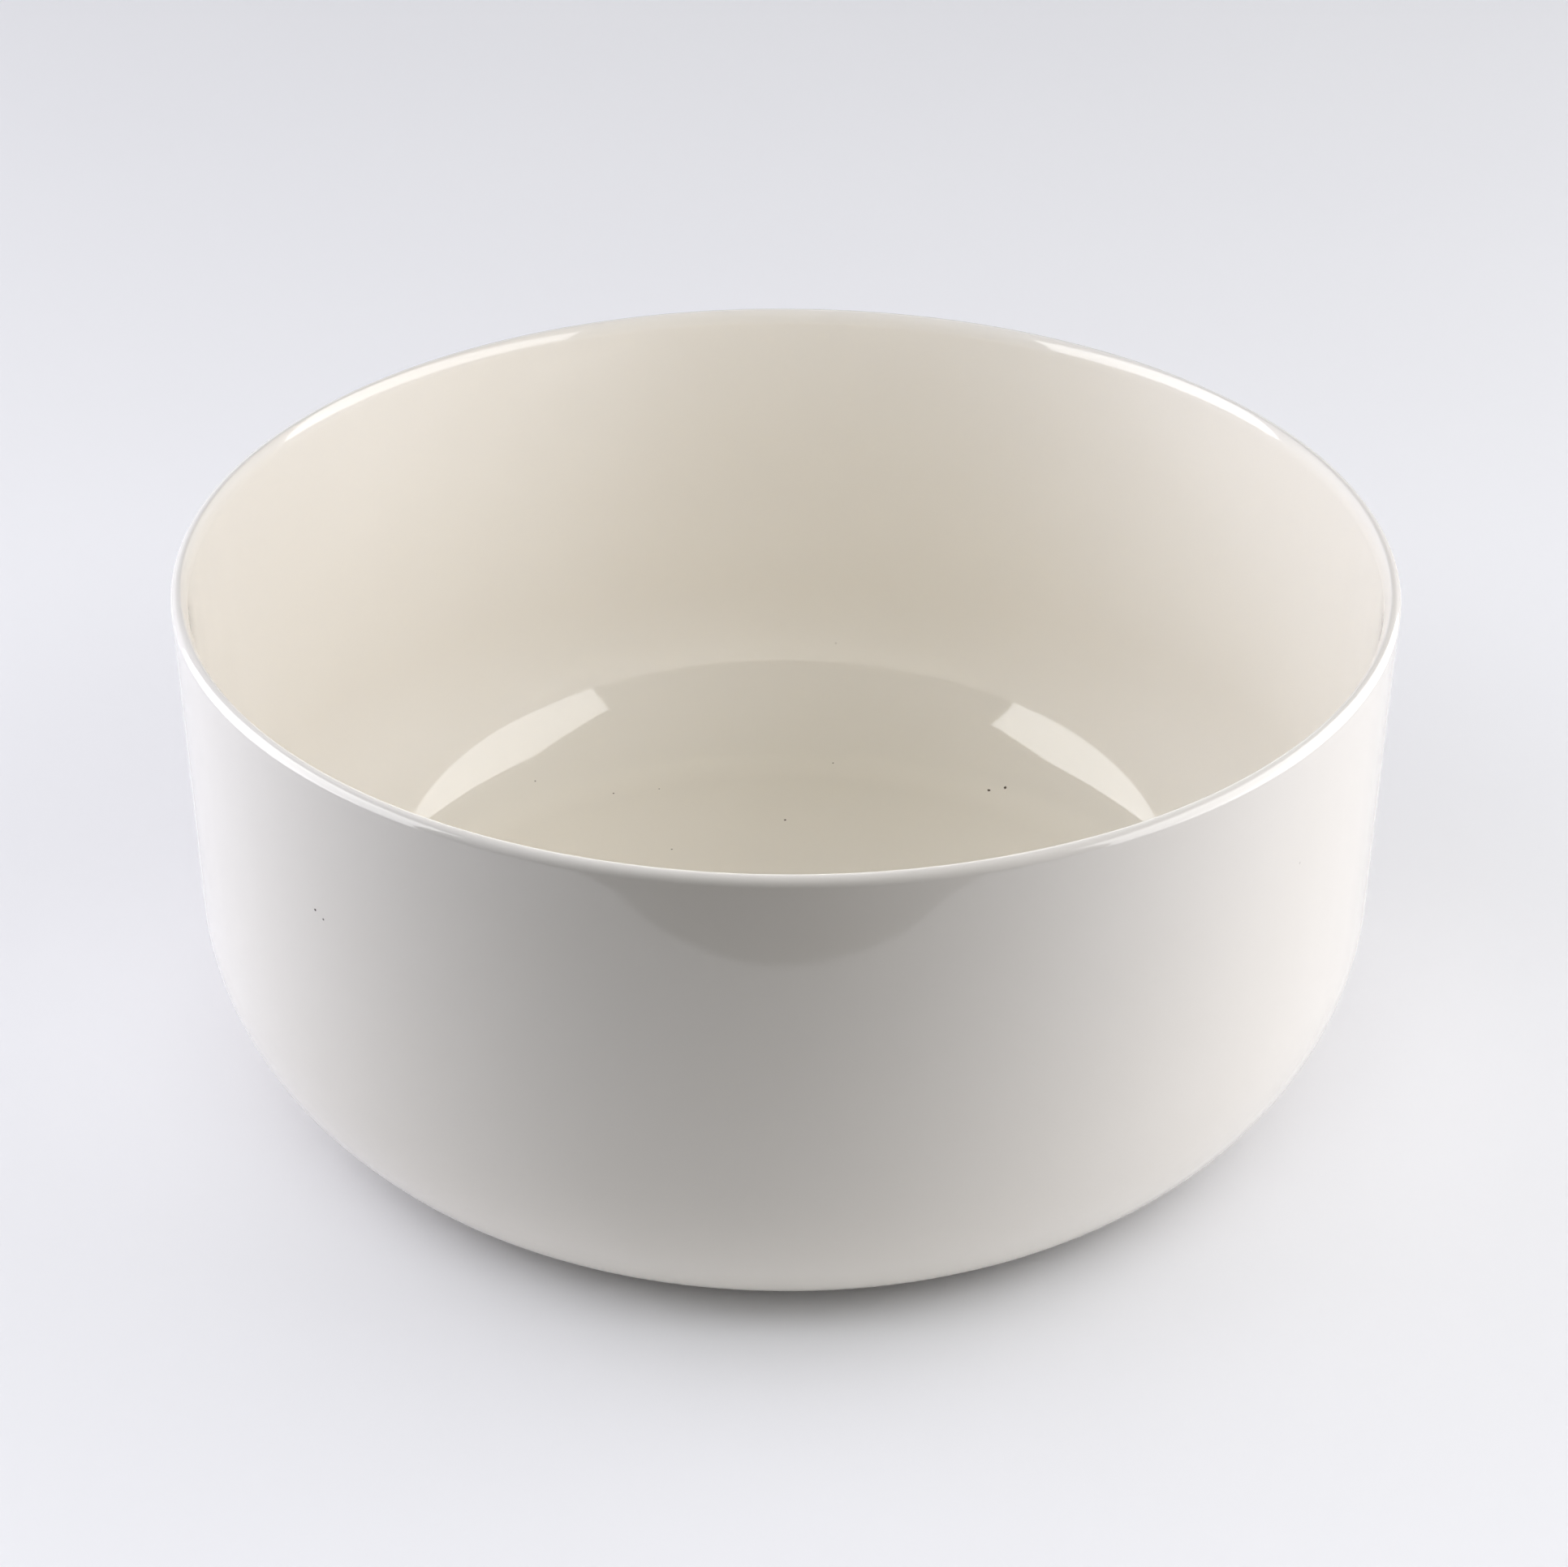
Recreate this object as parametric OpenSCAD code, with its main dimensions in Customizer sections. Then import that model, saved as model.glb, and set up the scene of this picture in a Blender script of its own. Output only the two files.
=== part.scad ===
// Evaporating dish: a deep round porcelain dish with a nearly upright wall, glazed inside and out.
// Millimetres, +Z up. The origin is the centre of the foot ring, on the surface it stands on.
// Every piece is turned about Z from a section drawn as [radius, height].

/* [Overall] */
// Outside diameter of the rim, the widest place
rim_d = 160; // [130:1:220]
// Height from the standing surface to the top of the rim
height = 75; // [62:0.5:110]

/* [Wall] */
// Thickness of the glazed rim between its outer and its inner round
rim_t = 1.6; // [1.3:0.1:3]
// Radius of the rim's inner round, on top; the rest of the thickness is the outer round
rim_edge_r = 0.4; // [0.4:0.05:0.9]
// Radius of the roll that leads from the top of the rim down into the bowl
rim_roll_r = 3.5; // [2:0.5:6]
// Angle turned by the inner round before the roll begins, measured from level on the bowl side
rim_roll_turn = 38; // [25:1:50]
// Thickness of the glazed wall where the inside shoulder begins
wall_t = 3.2; // [2.4:0.1:5]
// Outward lean of the outside wall, in degrees
wall_lean = 0.65; // [0:0.05:4]

/* [Shoulder] */
// Radius of the outside shoulder below the wall
shoulder_r = 32.5; // [26:0.5:40]
// Radius of the outside heel below the shoulder
heel_r = 20.5; // [17:0.5:24]
// Angle turned by the outside shoulder before the heel begins, in degrees
shoulder_turn = 41; // [30:1:55]

/* [Inside] */
// How much tighter the inside shoulder is than the outside one
shoulder_step = 1.5; // [0.5:0.1:4]
// How much tighter the inside heel is than the outside one
heel_step = 6.5; // [4:0.1:9]
// Angle turned by the inside shoulder before the inside heel begins, in degrees
inside_turn = 42; // [30:1:55]
// Thickness of the glazed floor
floor_t = 2.7; // [2:0.1:6]

/* [Foot] */
// Height of the foot ring, from the standing surface to the underside
foot_h = 2.5; // [2.2:0.1:6]
// Width of the glazed foot ring
foot_w = 4.5; // [3.5:0.1:8]
// Distance from the inner end of the heel to the foot ring
foot_inset = 6; // [2:0.5:15]
// Radius where the foot ring meets the underside
foot_fillet_r = 1.2; // [0.3:0.1:1.3]
// Radius on the two edges that the foot ring stands on
foot_edge_r = 0.8; // [0.3:0.1:0.9]

/* [Glaze] */
// Thickness of the glaze
glaze_t = 0.25; // [0.1:0.05:0.35]
// Height of the glaze line on the foot ring; below it the porcelain is bare
glaze_line = 0.9; // [0.9:0.05:1]

/* [Hidden] */
porcelain = [0.91, 0.88, 0.82];
ivory_glaze = [0.89, 0.86, 0.78];
// Smoothness of the turning
$fn = 180;
// How far a drawn round may stray from a true one
round_error = 0.01;
rim_r = rim_d / 2;

// Unit vector in the section, turned down from straight outward by an angle
function aim(turn) = [cos(turn), -sin(turn)];

// Points along a round, from one aim to another. A round that runs on into the next one leaves its last point to it
function bend(centre, r, from, to, runs_on = false) =
    let (steps = ceil(abs(to - from) / (2 * acos(1 - round_error / max(r, 2 * round_error)))))
    [for (i = [0 : steps - (runs_on ? 1 : 0)]) centre + r * aim(from + (to - from) * i / steps)];

// The rim is an outer and an inner round that meet at the top, and a larger roll that runs on from the inner one
rim_round_r = rim_t - rim_edge_r;
rim_c = [rim_r - rim_round_r, height - rim_round_r];
edge_c = [rim_c.x, height - rim_edge_r];
roll_c = edge_c + (rim_edge_r - rim_roll_r) * aim(180 + rim_roll_turn);

// Outside: the heel rests on the underside's height, the shoulder on the heel, the wall on the shoulder
shoulder_z = foot_h + heel_r + (shoulder_r - heel_r) * sin(shoulder_turn);
wall_fall = rim_c.y + (shoulder_r - rim_round_r) * sin(wall_lean) - shoulder_z;
shoulder_c = [
    rim_c.x - (shoulder_r - rim_round_r) * cos(wall_lean) - wall_fall * tan(wall_lean),
    shoulder_z
];
heel_c = shoulder_c + (shoulder_r - heel_r) * aim(shoulder_turn);

// Inside: the same, from the floor up
bowl_shoulder_r = shoulder_r - shoulder_step;
bowl_heel_r = heel_r - heel_step;
floor_z = foot_h + floor_t;
bowl_shoulder_c = [
    shoulder_c.x + shoulder_r - wall_t - bowl_shoulder_r,
    floor_z + bowl_heel_r + (bowl_shoulder_r - bowl_heel_r) * sin(inside_turn)
];
bowl_heel_c = bowl_shoulder_c + (bowl_shoulder_r - bowl_heel_r) * aim(inside_turn);

// Lean of the straight inside wall, which touches the inside shoulder and the rim's roll
roll_from_shoulder = roll_c - bowl_shoulder_c;
bowl_lean = acos((bowl_shoulder_r + rim_roll_r) / norm(roll_from_shoulder))
    - atan2(roll_from_shoulder.y, roll_from_shoulder.x);

// The foot ring, and the circle halfway through it that parts the two glazes
foot_outer_r = heel_c.x - foot_inset;
foot_inner_r = foot_outer_r - foot_w;
foot_mid_r = foot_outer_r - foot_w / 2;
fillet_z = foot_h - foot_fillet_r;

// The foot ring's outline from its inner fillet to its outer one, with its sides moved inward by a depth
function foot_outline(depth) = concat(
    bend([foot_inner_r - foot_fillet_r, fillet_z], foot_fillet_r + depth, -90, 0),
    bend([foot_inner_r + depth + foot_edge_r, foot_edge_r], foot_edge_r, 180, 90),
    bend([foot_outer_r - depth - foot_edge_r, foot_edge_r], foot_edge_r, 90, 0),
    bend([foot_outer_r + foot_fillet_r, fillet_z], foot_fillet_r + depth, 180, 270)
);

// The outside from the heel up to the top of the rim, moved inward by a depth
function outside_outline(depth) = concat(
    bend(heel_c, heel_r - depth, 90, shoulder_turn, runs_on = true),
    bend(shoulder_c, shoulder_r - depth, shoulder_turn, wall_lean),
    bend(rim_c, rim_round_r - depth, wall_lean, -90, runs_on = true)
);

// The inside from the top of the rim down to the floor, moved into the wall by a depth
function bowl_outline(depth) = concat(
    bend(edge_c, rim_edge_r - depth, 270, 180 + rim_roll_turn, runs_on = true),
    bend(roll_c, rim_roll_r - depth, 180 + rim_roll_turn, 180 + bowl_lean),
    bend(bowl_shoulder_c, bowl_shoulder_r + depth, bowl_lean, inside_turn, runs_on = true),
    bend(bowl_heel_c, bowl_heel_r + depth, inside_turn, 90)
);

// The whole dish in section, with every surface but the lowest moved inward by a depth
module dish_section(depth) {
    polygon(concat(
        [[0, foot_h + depth]],
        foot_outline(depth),
        outside_outline(depth),
        bowl_outline(depth),
        [[0, floor_z - depth]]
    ));
}

// The layer of glaze in section, above the glaze line
module glaze_section() {
    difference() {
        dish_section(0);
        dish_section(glaze_t);
        square([rim_r, glaze_line]);
    }
}

// The space inside the foot ring, up to the middle of the floor
module recess_section() {
    square([foot_mid_r, foot_h + floor_t / 2]);
}

// Fired porcelain in one piece, with its foot ring bare where it stands
module porcelain_body() {
    color(porcelain) rotate_extrude() dish_section(glaze_t);
}

// Glaze over the inside, the rim and the outside, down to the glaze line
module glaze_coat() {
    color(ivory_glaze) rotate_extrude() difference() {
        glaze_section();
        recess_section();
    }
}

// Glaze inside the foot ring, parted from the rest by the bare ring
module foot_recess_glaze() {
    color(ivory_glaze) rotate_extrude() intersection() {
        glaze_section();
        recess_section();
    }
}

porcelain_body();
glaze_coat();
foot_recess_glaze();
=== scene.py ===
import math

import bpy
from mathutils import Matrix, Vector


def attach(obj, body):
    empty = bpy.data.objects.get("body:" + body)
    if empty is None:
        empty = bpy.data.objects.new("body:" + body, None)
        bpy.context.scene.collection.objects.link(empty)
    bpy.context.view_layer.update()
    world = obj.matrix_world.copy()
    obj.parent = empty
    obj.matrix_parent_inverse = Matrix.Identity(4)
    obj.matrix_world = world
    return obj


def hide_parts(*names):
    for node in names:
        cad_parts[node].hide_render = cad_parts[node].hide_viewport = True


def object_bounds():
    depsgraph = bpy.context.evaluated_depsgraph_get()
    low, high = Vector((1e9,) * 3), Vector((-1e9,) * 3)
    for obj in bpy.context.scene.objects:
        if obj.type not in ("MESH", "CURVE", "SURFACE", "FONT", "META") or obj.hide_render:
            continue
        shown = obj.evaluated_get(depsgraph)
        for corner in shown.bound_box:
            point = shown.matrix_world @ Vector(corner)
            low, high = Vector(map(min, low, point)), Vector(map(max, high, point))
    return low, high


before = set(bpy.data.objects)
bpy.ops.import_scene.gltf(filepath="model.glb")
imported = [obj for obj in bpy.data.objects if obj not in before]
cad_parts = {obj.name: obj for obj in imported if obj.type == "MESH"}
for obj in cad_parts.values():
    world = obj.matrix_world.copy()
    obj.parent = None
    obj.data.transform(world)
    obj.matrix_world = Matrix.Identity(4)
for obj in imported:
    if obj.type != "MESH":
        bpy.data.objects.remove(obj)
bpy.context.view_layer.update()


MM = 0.001

# ---------------------------------------------------------------- sizes of the dish, in millimetres
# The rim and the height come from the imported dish; the rest repeats its named sizes.
low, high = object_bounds()
rim_r = (high.x - low.x) / 2 / MM
height = (high.z - low.z) / MM
rim_t = 1.6
rim_edge_r = 0.4
rim_roll_r = 3.5
rim_roll_turn = 38.0
wall_t = 3.2
wall_lean = 0.65
shoulder_r = 32.5
heel_r = 20.5
shoulder_turn = 41.0
shoulder_step = 1.5
heel_step = 6.5
inside_turn = 42.0
floor_t = 2.7
foot_h = 2.5
foot_w = 4.5
foot_inset = 6.0
foot_fillet_r = 1.2
foot_edge_r = 0.8
glaze_t = 0.25
glaze_line = 0.9


# ---------------------------------------------------------------- the section of the dish
def aim(turn):
    """The way a face looks: 0 outwards, 90 down, 180 to the axis, 270 up."""
    return Vector((math.cos(math.radians(turn)), -math.sin(math.radians(turn))))


def bend(centre, radius, start, end, step=1.0, least=3.0):
    """Points along a round, closer than step millimetres and least degrees."""
    pieces = max(2, math.ceil(abs(end - start) / least),
                 math.ceil(math.radians(abs(end - start)) * radius / step))
    return [centre + radius * aim(start + (end - start) * i / pieces) for i in range(pieces + 1)]


def joined(*runs, step=1.0):
    """The runs end to end, with the straights between them cut to the step."""
    path = []
    for point in (p for run in runs for p in run):
        if path:
            gap = (point - path[-1]).length
            if gap < 1e-4:
                continue
            pieces = math.ceil(gap / step)
            path += [path[-1].lerp(point, i / pieces) for i in range(1, pieces)]
        path.append(point)
    return path


rim_round_r = rim_t - rim_edge_r
rim_c = Vector((rim_r - rim_round_r, height - rim_round_r))
edge_c = Vector((rim_c.x, height - rim_edge_r))
roll_c = edge_c + (rim_edge_r - rim_roll_r) * aim(180 + rim_roll_turn)
shoulder_z = foot_h + heel_r + (shoulder_r - heel_r) * math.sin(math.radians(shoulder_turn))
wall_fall = rim_c.y + (shoulder_r - rim_round_r) * math.sin(math.radians(wall_lean)) - shoulder_z
shoulder_c = Vector((rim_c.x - (shoulder_r - rim_round_r) * math.cos(math.radians(wall_lean))
                     - wall_fall * math.tan(math.radians(wall_lean)), shoulder_z))
heel_c = shoulder_c + (shoulder_r - heel_r) * aim(shoulder_turn)
floor_z = foot_h + floor_t
bowl_shoulder_r = shoulder_r - shoulder_step
bowl_heel_r = heel_r - heel_step
bowl_shoulder_c = Vector((shoulder_c.x + shoulder_r - wall_t - bowl_shoulder_r, floor_z + bowl_heel_r
                          + (bowl_shoulder_r - bowl_heel_r) * math.sin(math.radians(inside_turn))))
bowl_heel_c = bowl_shoulder_c + (bowl_shoulder_r - bowl_heel_r) * aim(inside_turn)
roll_run = roll_c - bowl_shoulder_c
bowl_lean = math.degrees(math.acos((bowl_shoulder_r + rim_roll_r) / roll_run.length)
                         - math.atan2(roll_run.y, roll_run.x))
foot_outer_r = heel_c.x - foot_inset
foot_inner_r = foot_outer_r - foot_w
fillet_z = foot_h - foot_fillet_r


def foot_outside(depth, step):
    return bend(Vector((foot_outer_r + foot_fillet_r, fillet_z)), foot_fillet_r + depth, 180, 270, step)


def foot_inside(depth, step):
    return bend(Vector((foot_inner_r - foot_fillet_r, fillet_z)), foot_fillet_r + depth, -90, 0, step)


def outside(depth, step):
    return joined(bend(heel_c, heel_r - depth, 90, shoulder_turn, step),
                  bend(shoulder_c, shoulder_r - depth, shoulder_turn, wall_lean, step),
                  bend(rim_c, rim_round_r - depth, wall_lean, -90, step), step=step)


def bowl(depth, step):
    return joined(bend(edge_c, rim_edge_r - depth, 270, 180 + rim_roll_turn, step, 6),
                  bend(roll_c, rim_roll_r - depth, 180 + rim_roll_turn, 180 + bowl_lean, step),
                  bend(bowl_shoulder_c, bowl_shoulder_r + depth, bowl_lean, inside_turn, step),
                  bend(bowl_heel_c, bowl_heel_r + depth, inside_turn, 90, step),
                  [Vector((0, floor_z - depth))], step=step)


def foot_bead(side, wall_r):
    """The rounded end of the glaze, where it was wiped off the foot."""
    centre = Vector((wall_r - side * glaze_t, glaze_line + glaze_t))
    return bend(centre, glaze_t, 90, 90 - side * 90, 1.0, 18)


# the skin that shows is finely stepped; the faces against the clay are coarse
skin = joined(foot_bead(1, foot_outer_r), foot_outside(0, 0.5), outside(0, 1.8), bowl(0, 1.8), step=1.8)
seat = joined(foot_outside(glaze_t, 2), outside(glaze_t, 4), bowl(glaze_t, 4), step=6)
coat_section = seat[::-1] + skin
coat_faces = [0.0] * len(seat) + [1.0] * len(skin)

recess_skin = joined([Vector((0, foot_h))], foot_inside(0, 0.5), foot_bead(-1, foot_inner_r)[::-1],
                     step=1.4)
recess_seat = joined([Vector((0, foot_h + glaze_t))], foot_inside(glaze_t, 2), step=6)
recess_section = recess_skin + recess_seat[::-1]
recess_faces = [1.0] * len(recess_skin) + [0.0] * len(recess_seat)

ring = joined(bend(Vector((foot_inner_r + glaze_t + foot_edge_r, foot_edge_r)), foot_edge_r, 180, 90, 0.3),
              bend(Vector((foot_outer_r - glaze_t - foot_edge_r, foot_edge_r)), foot_edge_r, 90, 0, 0.3),
              step=0.5)
clay_section = joined([Vector((0, foot_h + glaze_t))], foot_inside(glaze_t, 1), ring,
                      foot_outside(glaze_t, 1), outside(glaze_t, 4), bowl(glaze_t, 4), step=4)


# ---------------------------------------------------------------- one helper for every node
def add(tree, kind, wires=None, **settings):
    """Adds a node, sets it up, and wires or fills the inputs named in wires."""
    made = tree.nodes.new(kind)
    for name, value in settings.items():
        setattr(made, name, value)
    for socket, value in (wires or {}).items():
        if isinstance(value, bpy.types.NodeSocket):
            tree.links.new(value, made.inputs[socket])
        else:
            made.inputs[socket].default_value = value
    return made


# ---------------------------------------------------------------- turning on the wheel
def wheel_tree():
    """Turns a section about the upright axis, as a jigger turns clay on a wheel."""
    tree = bpy.data.node_groups.new("turned_on_the_wheel", "GeometryNodeTree")
    for name, kind, way in (("Section", "Geometry", "INPUT"), ("Steps round", "Int", "INPUT"),
                            ("Wave depth", "Float", "INPUT"), ("Wave width", "Float", "INPUT"),
                            ("Finish", "Material", "INPUT"), ("Piece", "Geometry", "OUTPUT")):
        tree.interface.new_socket(name, in_out=way, socket_type="NodeSocket" + kind)
    given = tree.nodes.new("NodeGroupInput").outputs
    points = add(tree, "GeometryNodeAttributeDomainSize", {"Geometry": given["Section"]})
    count = points.outputs["Point Count"]
    columns = add(tree, "ShaderNodeMath", {0: given["Steps round"], 1: 1.0}, operation="ADD")
    grid = add(tree, "GeometryNodeMeshGrid",
               {"Size X": 1.0, "Size Y": 1.0, "Vertices X": columns.outputs[0], "Vertices Y": count})
    place = add(tree, "ShaderNodeSeparateXYZ", {0: add(tree, "GeometryNodeInputPosition").outputs[0]})
    share = add(tree, "ShaderNodeMath", {0: place.outputs["Y"], 1: 0.5}, operation="ADD")
    last = add(tree, "ShaderNodeMath", {0: count, 1: 1.0}, operation="SUBTRACT")
    along = add(tree, "ShaderNodeMath", {0: share.outputs[0], 1: last.outputs[0]}, operation="MULTIPLY")
    step = add(tree, "ShaderNodeMath", {0: along.outputs[0]}, operation="ROUND").outputs[0]
    part = add(tree, "ShaderNodeMath", {0: place.outputs["X"], 1: 0.5}, operation="ADD")
    angle = add(tree, "ShaderNodeMath", {0: part.outputs[0], 1: math.tau}, operation="MULTIPLY")
    point = add(tree, "GeometryNodeSampleIndex",
                {0: given["Section"], 1: add(tree, "GeometryNodeInputPosition").outputs[0], "Index": step},
                data_type="FLOAT_VECTOR", domain="POINT")
    marked = add(tree, "GeometryNodeInputNamedAttribute", {"Name": "shows"}, data_type="FLOAT")
    shows = add(tree, "GeometryNodeSampleIndex", {0: given["Section"], 1: marked.outputs[0], "Index": step},
                data_type="FLOAT", domain="POINT")
    keep = add(tree, "GeometryNodeStoreNamedAttribute",
               {"Geometry": grid.outputs["Mesh"], "Name": "shows", "Value": shows.outputs[0]},
               data_type="FLOAT", domain="POINT")
    spun = add(tree, "ShaderNodeVectorRotate", {"Vector": point.outputs[0], "Angle": angle.outputs[0]},
               rotation_type="Z_AXIS")
    turned = add(tree, "GeometryNodeSetPosition",
                 {"Geometry": keep.outputs[0], "Position": spun.outputs[0]})
    closed = add(tree, "GeometryNodeMergeByDistance", {"Geometry": turned.outputs[0], "Distance": 1e-6})
    # the fired glaze isn't dead true: it lies in long shallow waves, only ever below its full thickness
    pitch = add(tree, "ShaderNodeMath", {0: 1.0, 1: given["Wave width"]}, operation="DIVIDE")
    wave = add(tree, "ShaderNodeTexNoise", {"Scale": pitch.outputs[0], "Detail": 1.0, "W": 4.0},
               noise_dimensions="4D")
    still = add(tree, "GeometryNodeInputNamedAttribute", {"Name": "shows"}, data_type="FLOAT")
    deep = add(tree, "ShaderNodeMath", {0: wave.outputs[0], 1: given["Wave depth"]}, operation="MULTIPLY")
    dip = add(tree, "ShaderNodeMath", {0: deep.outputs[0], 1: still.outputs[0]}, operation="MULTIPLY")
    inward = add(tree, "ShaderNodeMath", {0: dip.outputs[0], 1: -1.0}, operation="MULTIPLY")
    facing = add(tree, "GeometryNodeInputNormal").outputs[0]
    push = add(tree, "ShaderNodeVectorMath", {0: facing, "Scale": inward.outputs[0]}, operation="SCALE")
    waved = add(tree, "GeometryNodeSetPosition", {"Geometry": closed.outputs[0], "Offset": push.outputs[0]})
    smooth = add(tree, "GeometryNodeSetShadeSmooth", {"Geometry": waved.outputs[0], "Shade Smooth": True})
    plain = add(tree, "GeometryNodeRealizeInstances", {"Geometry": smooth.outputs[0]})
    done = add(tree, "GeometryNodeSetMaterial", {"Geometry": plain.outputs[0], "Material": given["Finish"]})
    add(tree, "NodeGroupOutput", {"Piece": done.outputs[0]})
    return tree


def turn_piece(name, section, shows, finish, steps, wave_depth=0.0, wave_width=0.03):
    """A closed piece turned from its section, as a plain mesh."""
    line = bpy.data.meshes.new(name + "_section")
    line.from_pydata([(p.x * MM, 0, p.y * MM) for p in section],
                     [(i, i + 1) for i in range(len(section) - 1)], [])
    line.attributes.new("shows", "FLOAT", "POINT").data.foreach_set("value", shows)
    piece = bpy.data.objects.new(name, line)
    bpy.context.scene.collection.objects.link(piece)
    wheel = piece.modifiers.new("wheel", "NODES")
    wheel.node_group = wheel_group
    sizes = {"Steps round": steps, "Wave depth": wave_depth, "Wave width": wave_width, "Finish": finish}
    for socket in wheel_group.interface.items_tree:
        if socket.in_out == "INPUT" and socket.name in sizes:
            wheel[socket.identifier] = sizes[socket.name]
    ready = piece.evaluated_get(bpy.context.evaluated_depsgraph_get())
    mesh = bpy.data.meshes.new_from_object(ready)
    piece.modifiers.clear()
    piece.data = mesh
    mesh.name = name
    volume = sum(f.center.dot(f.normal) * f.area for f in mesh.polygons)
    if volume < 0:
        mesh.flip_normals()
    if "shows" in mesh.attributes:
        mesh.attributes.remove(mesh.attributes["shows"])
    return piece


# ---------------------------------------------------------------- finishes
def colour(code):
    """An sRGB hex colour as linear light."""
    parts = [int(code[i:i + 2], 16) / 255 for i in (1, 3, 5)]
    return [c / 12.92 if c <= 0.04045 else ((c + 0.055) / 1.055) ** 2.4 for c in parts] + [1.0]


def new_finish(name):
    finish = bpy.data.materials.new(name)
    finish.use_nodes = True
    finish.node_tree.nodes.clear()
    return finish, finish.node_tree


def glazed_porcelain():
    """Hard porcelain under a clear glaze, dipped and fired: it looks deep, wet and faintly ivory,
    a little warmer and darker low down, with a few specks of iron from the clay."""
    finish, tree = new_finish("ivory_glazed_porcelain")
    where = add(tree, "ShaderNodeTexCoord").outputs["Object"]
    # clouds in the clay about 40 mm across
    clouds = add(tree, "ShaderNodeTexNoise", {"Vector": where, "Scale": 1 / 0.040, "Detail": 2.0})
    clay = add(tree, "ShaderNodeMix", {0: clouds.outputs[0], 6: colour("#EDE8DE"), 7: colour("#EAE4D8")},
               data_type="RGBA")
    # warmer and a little darker from 16 mm above the table down to 6 mm
    up = add(tree, "ShaderNodeSeparateXYZ", {0: where}).outputs["Z"]
    low_warmth = add(tree, "ShaderNodeMapRange",
               {"Value": up, "From Min": 0.016, "From Max": 0.006, "To Max": 0.35})
    warmed_low = add(tree, "ShaderNodeMix", {0: low_warmth.outputs[0], 6: clay.outputs[2], 7: colour("#E6DFCD")},
                 data_type="RGBA")
    # iron specks, where the clay held them: place in mm, then how wide
    nearest = None
    for x, y, z, wide in IRON:
        far = add(tree, "ShaderNodeVectorMath", {0: where, 1: (x * MM, y * MM, z * MM)},
                  operation="DISTANCE")
        size = add(tree, "ShaderNodeMath", {0: far.outputs["Value"], 1: wide * MM / 2}, operation="DIVIDE")
        if nearest is None:
            nearest = size
        else:
            nearest = add(tree, "ShaderNodeMath", {0: nearest.outputs[0], 1: size.outputs[0]},
                          operation="MINIMUM")
    # a ragged edge about 0.3 mm fine
    rag = add(tree, "ShaderNodeTexNoise", {"Vector": where, "Scale": 1 / 0.0003, "Detail": 1.0})
    ragged = add(tree, "ShaderNodeMath", {0: nearest.outputs[0], 1: rag.outputs[0]}, operation="ADD")
    speck = add(tree, "ShaderNodeMapRange", {"Value": ragged.outputs[0], "From Min": 1.7, "From Max": 1.2})
    specked = add(tree, "ShaderNodeMix", {0: speck.outputs[0], 6: warmed_low.outputs[2], 7: colour("#4A3B2E")},
                  data_type="RGBA")
    # pinholes, a few tenths of a millimetre wide and 9 mm apart on average
    holes = add(tree, "ShaderNodeTexVoronoi", {"Vector": where, "Scale": 1 / 0.009})
    rare = add(tree, "ShaderNodeSeparateColor", {0: holes.outputs["Color"]})
    few = add(tree, "ShaderNodeMath", {0: rare.outputs[0], 1: 0.82}, operation="GREATER_THAN")
    dot = add(tree, "ShaderNodeMath", {0: holes.outputs["Distance"], 1: 0.022}, operation="LESS_THAN")
    hole = add(tree, "ShaderNodeMath", {0: few.outputs[0], 1: dot.outputs[0]}, operation="MULTIPLY")
    faint = add(tree, "ShaderNodeMath", {0: hole.outputs[0], 1: 0.25}, operation="MULTIPLY")
    holed = add(tree, "ShaderNodeMix", {0: faint.outputs[0], 6: specked.outputs[2], 7: colour("#9C9284")},
                data_type="RGBA")
    # gloss that changes a little from place to place, and an orange-peel skin 5 mm from crest to crest
    gloss = add(tree, "ShaderNodeTexNoise", {"Vector": where, "Scale": 1 / 0.012, "Detail": 3.0})
    rough = add(tree, "ShaderNodeMapRange", {"Value": gloss.outputs[0], "To Min": 0.03, "To Max": 0.07})
    peel = add(tree, "ShaderNodeTexNoise", {"Vector": where, "Scale": 1 / 0.005, "Detail": 1.0})
    skin_bump = add(tree, "ShaderNodeBump",
                    {"Height": peel.outputs[0], "Strength": 0.25, "Distance": 0.00002})
    glaze = add(tree, "ShaderNodeBsdfPrincipled",
                {"Base Color": holed.outputs[2], "Roughness": rough.outputs[0],
                 "Normal": skin_bump.outputs[0], "IOR": 1.52})
    add(tree, "ShaderNodeOutputMaterial", {"Surface": glaze.outputs[0]})
    return finish


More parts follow.
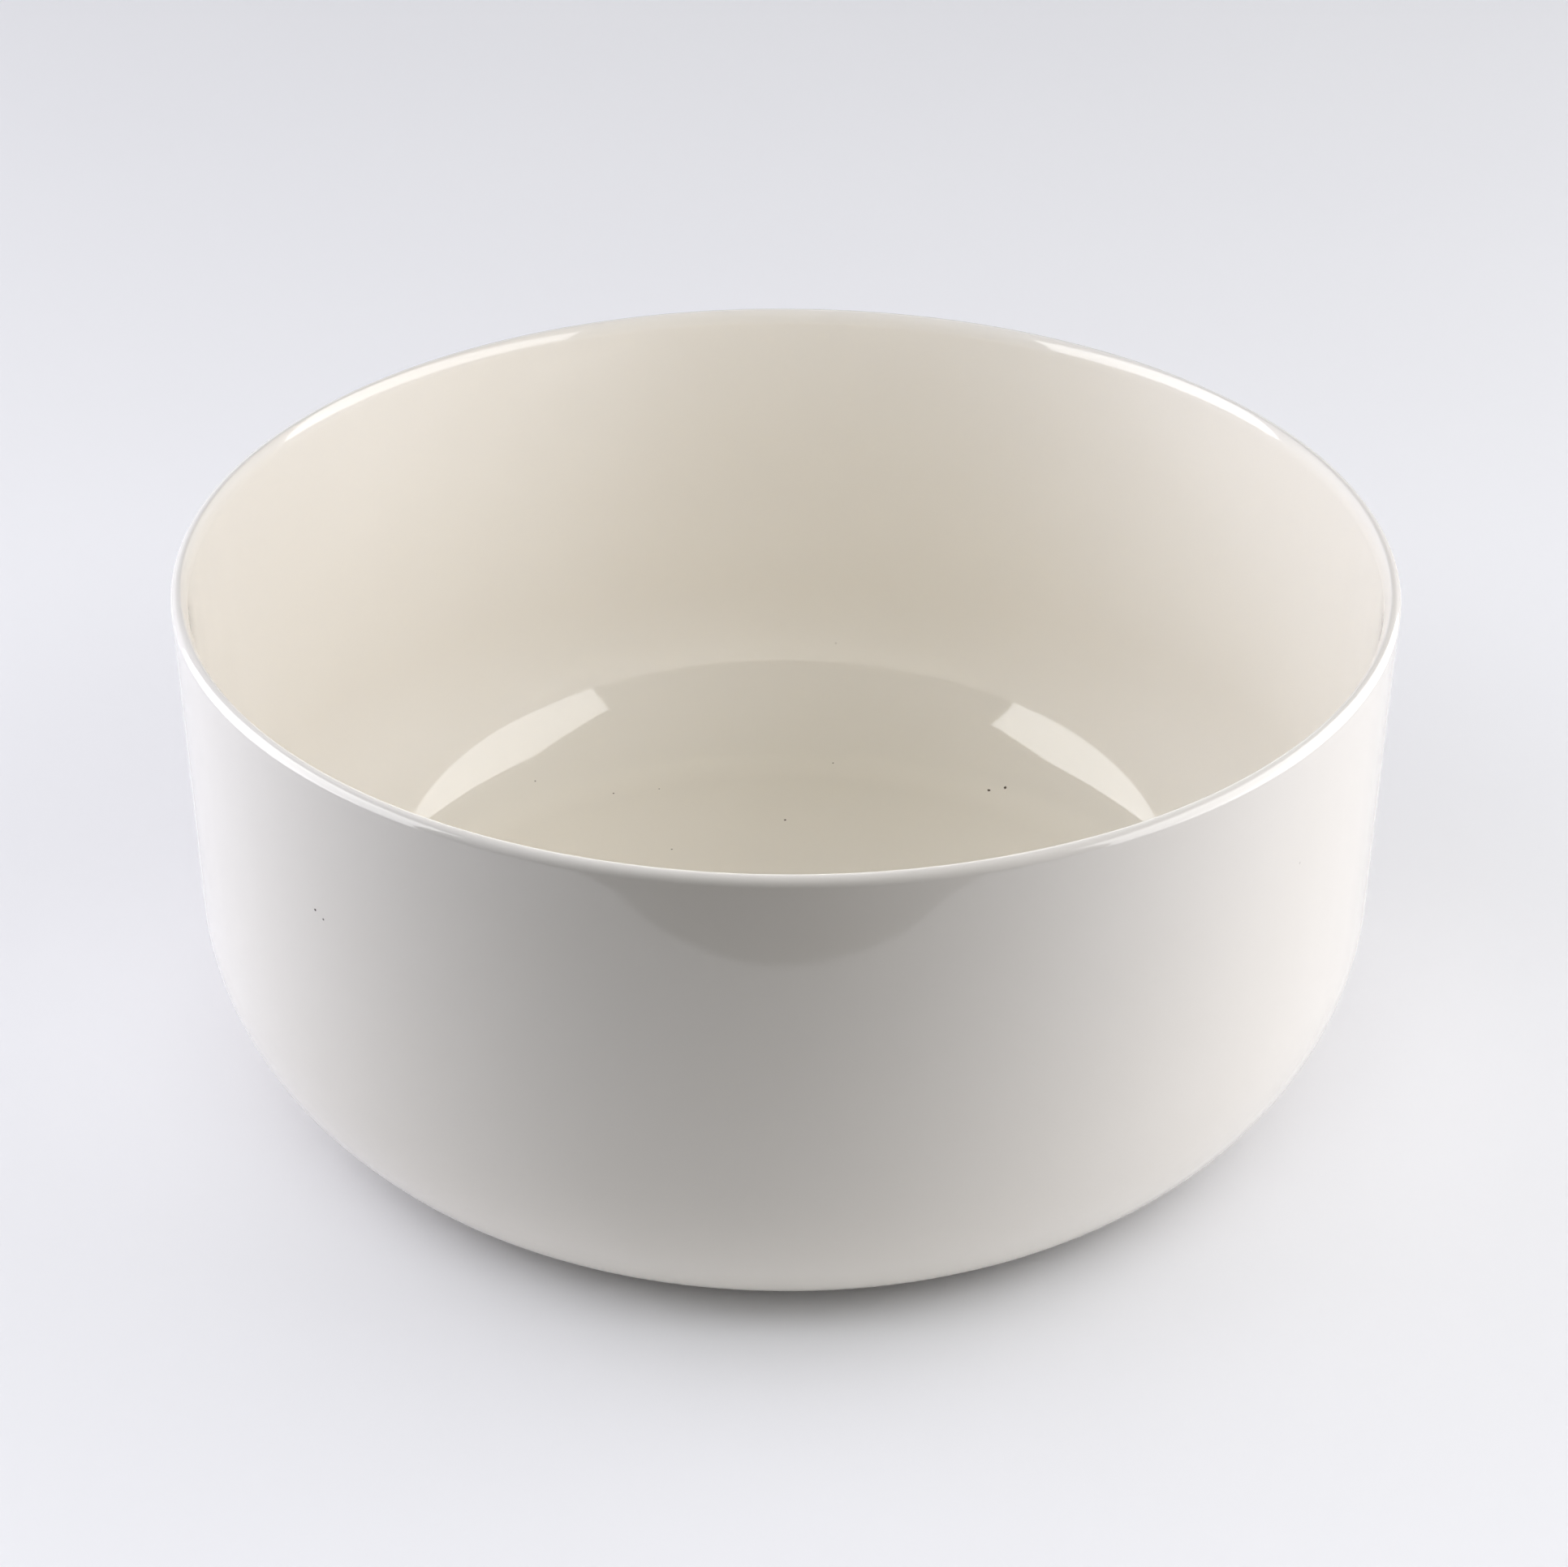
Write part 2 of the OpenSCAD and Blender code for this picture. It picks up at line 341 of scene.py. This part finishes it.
def bare_porcelain():
    """Unglazed fired porcelain, wiped and ground flat: dry, matt and fine-grained, with a faint toasted
    line where the glaze stops."""
    finish, tree = new_finish("bare_fired_porcelain")
    where = add(tree, "ShaderNodeTexCoord").outputs["Object"]
    grain = add(tree, "ShaderNodeTexNoise", {"Vector": where, "Scale": 1 / 0.0006, "Detail": 4.0})
    stain = add(tree, "ShaderNodeTexNoise", {"Vector": where, "Scale": 1 / 0.012, "Detail": 3.0})
    clay = add(tree, "ShaderNodeMix", {0: stain.outputs[0], 6: colour("#E4DFD3"), 7: colour("#D3CBBB")},
               data_type="RGBA")
    up = add(tree, "ShaderNodeSeparateXYZ", {0: where}).outputs["Z"]
    toast = add(tree, "ShaderNodeMapRange",
                {"Value": up, "From Min": 0.0004, "From Max": 0.0010, "To Max": 0.6})
    toasted = add(tree, "ShaderNodeMix", {0: toast.outputs[0], 6: clay.outputs[2], 7: colour("#C9AE8C")},
                  data_type="RGBA")
    dark = add(tree, "ShaderNodeMapRange", {"Value": grain.outputs[0], "From Min": 0.3, "From Max": 0.7,
                                            "To Min": 0.9, "To Max": 1.0})
    shade = add(tree, "ShaderNodeMix", {0: 1.0, 6: toasted.outputs[2], 7: dark.outputs[0]},
                data_type="RGBA", blend_type="MULTIPLY")
    bump = add(tree, "ShaderNodeBump", {"Height": grain.outputs[0], "Strength": 0.5, "Distance": 0.0001})
    body = add(tree, "ShaderNodeBsdfPrincipled",
               {"Base Color": shade.outputs[2], "Roughness": 0.78, "Normal": bump.outputs[0]})
    add(tree, "ShaderNodeOutputMaterial", {"Surface": body.outputs[0]})
    return finish


def paper_sweep():
    """Matt white card under the dish, faintly blue, with a soft unevenness 150 mm across."""
    finish, tree = new_finish("matt_white_card")
    where = add(tree, "ShaderNodeTexCoord").outputs["Object"]
    cloud = add(tree, "ShaderNodeTexNoise", {"Vector": where, "Scale": 1 / 0.15, "Detail": 1.0})
    tint = add(tree, "ShaderNodeMix", {0: cloud.outputs[0], 6: colour("#EEEEF3"), 7: colour("#EBEBF1")},
               data_type="RGBA")
    face = add(tree, "ShaderNodeBsdfPrincipled",
               {"Base Color": tint.outputs[2], "Roughness": 0.6, "Specular IOR Level": 0.2})
    add(tree, "ShaderNodeOutputMaterial", {"Surface": face.outputs[0]})
    return finish


def black_card():
    """Black velvet on card: it throws almost no light back at the front of the dish."""
    finish, tree = new_finish("black_velvet_card")
    nap = add(tree, "ShaderNodeBsdfDiffuse", {"Color": colour("#1C1B1A")})
    add(tree, "ShaderNodeOutputMaterial", {"Surface": nap.outputs[0]})
    return finish


# iron specks in the glaze: x, y, z and width in mm
IRON = ((31.5, 53.5, 5.8, 0.46), (34.0, 53.5, 6.3, 0.50), (0, 45.5, 5.2, 0.4), (-17, 37, 5.2, 0.28),
        (-26.5, 53, 5.2, 0.28), (-19.5, 54.5, 5.2, 0.25), (7.5, 61.5, 5.8, 0.25), (-38.5, 53, 7.4, 0.25),
        (-56.5, -56.3, 55.2, 0.4), (-55.5, -57.4, 54.5, 0.4))

wheel_group = wheel_tree()
glaze_finish = glazed_porcelain()
clay_finish = bare_porcelain()

# the waves in the glaze are 22 mm from crest to crest and at most 0.1 mm deep
coat_wave, recess_wave, wave_width = 0.10 * MM, 0.08 * MM, 22 * MM
# steps round the wheel: the coat takes fewer, because its section has the most points
coat_steps, fine_steps = 216, 240
coat = turn_piece("ivory_glaze_skin", coat_section, coat_faces, glaze_finish, coat_steps,
                  coat_wave, wave_width)
recess = turn_piece("foot_recess_glaze_skin", recess_section, recess_faces, glaze_finish, fine_steps,
                    recess_wave, wave_width)
clay = turn_piece("fired_porcelain_body", clay_section, [0.0] * len(clay_section), clay_finish, fine_steps)
for piece, node, slot in ((coat, "glaze_coat", "ivory_glaze"), (recess, "foot_recess_glaze", "ivory_glaze"),
                          (clay, "porcelain_body", "bare_porcelain")):
    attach(piece, "root")
    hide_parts(node)


# ---------------------------------------------------------------- the table top and the light
def card(name, size_x, size_y, centre, finish):
    """A flat rectangle on the stage, facing up."""
    mesh = bpy.data.meshes.new(name)
    x, y = size_x / 2, size_y / 2
    mesh.from_pydata([(centre[0] + i * x, centre[1] + j * y, centre[2])
                      for i, j in ((-1, -1), (1, -1), (1, 1), (-1, 1))], [], [(0, 1, 2, 3)])
    mesh.materials.append(finish)
    flat = bpy.data.objects.new(name, mesh)
    bpy.context.scene.collection.objects.link(flat)
    return flat


table_top = card("white_table_top", 12, 12, (0, 0, 0), paper_sweep())
# a dark card lies in front of the dish, past what the camera takes in. The camera looks through it and
# the dish mirrors it, and the table top under it looks dimmer
near_edge, card_depth = -0.168, 1.2
dark_front = card("dark_card_in_front", 3.0, card_depth, (0, near_edge - card_depth / 2, 0.0005),
                  black_card())
dark_front.visible_camera = False
dark_front.visible_shadow = False


# each light falls only on the things in its list, the dish or the table top
def lit_things(name, *things):
    lit = bpy.data.collections.new(name)
    for thing in things:
        lit.objects.link(thing)
    return lit


the_dish = lit_things("the_dish", coat, recess, clay)
the_table = lit_things("the_table", table_top)


def soft_light(name, centre, towards, wide, tall, brightness, tint, lit, mirrored=False):
    """A soft panel of light. brightness is its radiance, where white paper in full light is 1.
    A mirrored panel is one that the glaze reflects; the others only brighten what they fall on."""
    data = bpy.data.lights.new(name, "AREA")
    data.shape, data.size, data.size_y = "RECTANGLE", wide, tall
    data.energy = brightness * math.pi * wide * tall
    data.color = colour(tint)[:3]
    lamp = bpy.data.objects.new(name, data)
    lamp.location = centre
    lamp.rotation_euler = (Vector(towards) - Vector(centre)).to_track_quat("-Z", "Y").to_euler()
    bpy.context.scene.collection.objects.link(lamp)
    lamp.light_linking.receiver_collection = lit
    lamp.visible_camera = False
    lamp.visible_glossy, lamp.visible_diffuse = mirrored, not mirrored
    return lamp


# the two panels beside the dish that show in its glaze
WHITE = "#FFFFFF"
soft_light("left_panel", (-0.290, -0.012, 0.160), (0, -0.012, 0.160), 0.342, 0.320, 5.2, WHITE, the_dish,
           mirrored=True)
soft_light("right_panel", (0.215, -0.020, 0.130), (0, -0.020, 0.130), 0.338, 0.260, 4.3, WHITE, the_dish,
           mirrored=True)
# the light that shapes the dish: strong from both sides, weak from the front, some down into the bowl
soft_light("left_side", (-0.60, 0.20, 0.30), (0, 0.05, 0.10), 0.8, 0.6, 4.70, "#EAEEFF", the_dish)
soft_light("right_side", (0.60, -0.05, 0.30), (0, 0, 0.15), 0.6, 0.6, 4.15, "#F4F5FF", the_dish)
soft_light("front", (0, -0.70, 0.90), (0, 0.10, 0), 1.0, 0.6, 0.90, WHITE, the_dish)
soft_light("into_the_bowl", (0, -0.06, 0.30), (0, 0.08, 0.03), 0.30, 0.15, 1.41, "#FBFEFF", the_dish)
# this one brightens the near inside wall, out of sight, which the far heel mirrors as the arc in the bowl
near_wall = soft_light("near_inside_wall", (0, -0.015, 0.085), (0, -0.08, 0.055), 0.09, 0.03, 3.0, WHITE,
                       the_dish)
near_wall.data.spread = math.radians(100)
# the light on the table top, all straight down, which leaves the shadow under the dish
soft_light("table_left", (-0.9, 0, 0.6), (-0.9, 0, 0), 0.9, 0.9, 2.68, "#F7F8FF", the_table)
soft_light("table_right", (0.9, 0, 0.6), (0.9, 0, 0), 0.9, 0.9, 2.78, "#FEFFFF", the_table)
soft_light("table_front", (0, -0.8, 0.8), (0, -0.8, 0), 1.2, 0.8, 1.78, "#F9FFFD", the_table)
soft_light("table_back", (0, 0.9, 0.8), (0, 0.9, 0), 1.4, 0.8, 0.60, "#F6FFFF", the_table)
soft_light("table_far", (0, 0, 3.0), (0, 0, 0), 8.0, 8.0, 0.50, "#FFFAF6", the_table)

# the room gives no light of its own. The camera sees it pale, and the glaze mirrors a pale band of it, low
# behind the dish, while overhead and in front it stays dark
room = bpy.data.worlds.new("dim_room")
room.use_nodes = True
tree = room.node_tree
view = add(tree, "ShaderNodeSeparateXYZ", {0: add(tree, "ShaderNodeTexCoord").outputs["Generated"]})
low_down = add(tree, "ShaderNodeMapRange", {"Value": view.outputs["Z"], "From Min": 0.38, "From Max": 0.25})
behind = add(tree, "ShaderNodeMapRange", {"Value": view.outputs["Y"], "From Min": -0.1, "From Max": 0.2})
band = add(tree, "ShaderNodeMath", {0: low_down.outputs[0], 1: behind.outputs[0]}, operation="MULTIPLY")
ray = add(tree, "ShaderNodeLightPath")
mirrored = add(tree, "ShaderNodeMath", {0: band.outputs[0], 1: ray.outputs["Is Glossy Ray"]},
               operation="MULTIPLY")
seen = add(tree, "ShaderNodeMath", {0: mirrored.outputs[0], 1: ray.outputs["Is Camera Ray"]},
           operation="MAXIMUM")
back = tree.nodes["Background"]
back.inputs["Color"].default_value = colour("#E3E4E9")
tree.links.new(seen.outputs[0], back.inputs["Strength"])
bpy.context.scene.world = room

# ---------------------------------------------------------------- the camera
camera_data = bpy.data.cameras.new("camera")
camera_data.sensor_fit, camera_data.sensor_width, camera_data.lens = "HORIZONTAL", 36.0, 80.12
camera_data.clip_start = 0.01
camera = bpy.data.objects.new("camera", camera_data)
bpy.context.scene.collection.objects.link(camera)
# the camera stands about 27 degrees above the rim and is aimed a little below it, turned and leaned a hair
# off true
stand_back, look_down = 5.735 * rim_r * MM, 0.4775
eye = Vector((0, -stand_back * math.cos(look_down), height * MM + stand_back * math.sin(look_down)))
aimed_down, turned_left, leaned = (math.radians(a) for a in (31.1861, 0.0200, 0.2464))
camera.matrix_world = (Matrix.Translation(eye) @ Matrix.Rotation(turned_left, 4, "Z")
                       @ Matrix.Rotation(math.pi / 2 - aimed_down, 4, "X") @ Matrix.Rotation(leaned, 4, "Z"))
bpy.context.scene.camera = camera
bpy.context.scene.view_settings.view_transform = "Standard"
bpy.context.scene.view_settings.look = "None"
